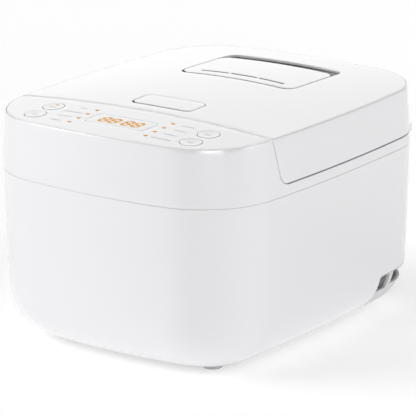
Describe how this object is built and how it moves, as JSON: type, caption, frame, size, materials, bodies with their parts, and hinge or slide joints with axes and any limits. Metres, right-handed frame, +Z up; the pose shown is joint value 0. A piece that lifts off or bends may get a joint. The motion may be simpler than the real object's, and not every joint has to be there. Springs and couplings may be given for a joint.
{
  "type": "rice cooker",
  "caption": "Electronic rice cooker: a rounded white body on feet, a hinged lid with a lift-off steam cap, a sloped key panel and a removable pot over a heating plate.",
  "frame": {"origin": "middle of the footprint at the underside of the feet, where the cooker stands", "axes": "+Z up, -Y towards the user (panel and release plate), +Y to the hinge, +X to the right seen from the front"},
  "size_m": [0.2472, 0.2954, 0.189],
  "materials": {
    "shell_white": "satin gloss moulded",
    "key_white": "gloss",
    "base_grey": "fine texture",
    "dark_plastic": "fine texture",
    "lens": "polished, see-through where lit",
    "light_orange": "glowing",
    "steel": "brushed",
    "aluminium": "satin",
    "pot_coating": "non-stick coating with fine speckle",
    "heater_foil": "satin",
    "ceramic": "unglazed",
    "silicone": "satin",
    "foot_rubber": "matt",
    "circuit_board": "solder mask",
    "relay_blue": "moulded",
    "winding_tape": "tape",
    "wire_insulation": "satin"
  },
  "bodies": {
    "base": {"lower_shell": "shell_white", "base_tray": "base_grey", "vent_screens": "dark_plastic", "rubber_feet": "foot_rubber", "base_screws": "steel", "upper_shell": "shell_white", "console_housing": "shell_white", "control_panel": "shell_white", "display_lens": "lens", "display_digits": "light_orange", "display_module": "base_grey", "indicator_lights": "light_orange", "control_board": "circuit_board", "key_switches": "dark_plastic", "power_board": "circuit_board", "transformer": "winding_tape", "relay": "relay_blue", "capacitors": "dark_plastic", "power_inlet": "dark_plastic", "inlet_pins": "steel", "internal_wiring": "wire_insulation", "inner_liner": "aluminium", "trim_ring": "base_grey", "heating_plate": "aluminium", "heating_element": "steel", "heater_terminals": "ceramic", "thermal_fuse": "steel", "warming_band": "heater_foil", "sensor_holder": "dark_plastic", "sensor_spring": "steel", "inner_pot": "pot_coating", "hinge_brackets": "steel", "hinge_pin": "steel", "strike_plates": "steel"},
    "lid": {"lid_shell": "shell_white", "lid_top_cover": "shell_white", "lid_liner": "base_grey", "inner_lid": "steel", "lid_gasket": "silicone", "steam_seal": "silicone", "lid_sensor": "steel", "hinge_arms": "steel", "lid_screws": "steel", "latch_frame": "dark_plastic", "button_spring": "steel", "vent_well": "base_grey"},
    "release": {"release_button": "key_white"},
    "latch": {"latch_bar": "steel"},
    "steam_cap": {"vent_cover": "shell_white", "vent_tray": "base_grey", "vent_flap": "silicone"},
    "key_1": {"key_left_rear": "key_white", "key_lamp": "light_orange"},
    "key_2": {"key_left_front": "key_white"},
    "key_3": {"key_right_rear": "key_white"},
    "key_4": {"key_right_front": "key_white"},
    "pot_sensor": {"sensor_plunger": "aluminium"}
  },
  "joints": [
    {"name": "lid_hinge", "type": "hinge", "parent": "base", "child": "lid", "pos_m": [0, 0.139, 0.15], "axis": [-1, 0, 0], "range_deg": [0, 80]},
    {"name": "release_press", "type": "hinge", "parent": "lid", "child": "release", "pos_m": [0, -0.0382, 0.1834], "axis": [1, 0, 0], "range_deg": [0, 4], "stiffness_Nm_per_rad": 0.15, "springref_deg": -5.73},
    {"name": "latch_swing", "type": "hinge", "parent": "lid", "child": "latch", "pos_m": [0, -0.05, 0.168], "axis": [1, 0, 0], "range_deg": [0, 9]},
    {"name": "steam_cap_lift", "type": "slide", "parent": "lid", "child": "steam_cap", "axis": [0, 0, 1], "range_m": [0, 0.03]},
    {"name": "key_1_press", "type": "slide", "parent": "base", "child": "key_1", "axis": [0, 0, -1], "range_m": [0, 0.0007], "stiffness_N_per_m": 200, "springref_m": -0.001},
    {"name": "key_2_press", "type": "slide", "parent": "base", "child": "key_2", "axis": [0, 0, -1], "range_m": [0, 0.0007], "stiffness_N_per_m": 200, "springref_m": -0.001},
    {"name": "key_3_press", "type": "slide", "parent": "base", "child": "key_3", "axis": [0, 0, -1], "range_m": [0, 0.0007], "stiffness_N_per_m": 200, "springref_m": -0.001},
    {"name": "key_4_press", "type": "slide", "parent": "base", "child": "key_4", "axis": [0, 0, -1], "range_m": [0, 0.0007], "stiffness_N_per_m": 200, "springref_m": -0.001},
    {"name": "pot_sensor_plunge", "type": "slide", "parent": "base", "child": "pot_sensor", "axis": [0, 0, 1], "range_m": [-0.002, 0], "stiffness_N_per_m": 300, "springref_m": 0.004, "deforming": ["sensor_spring"]}
  ],
  "couplings": [
    {"joint": "latch_swing", "follows": "release_press", "ratio": 2.25}
  ]
}
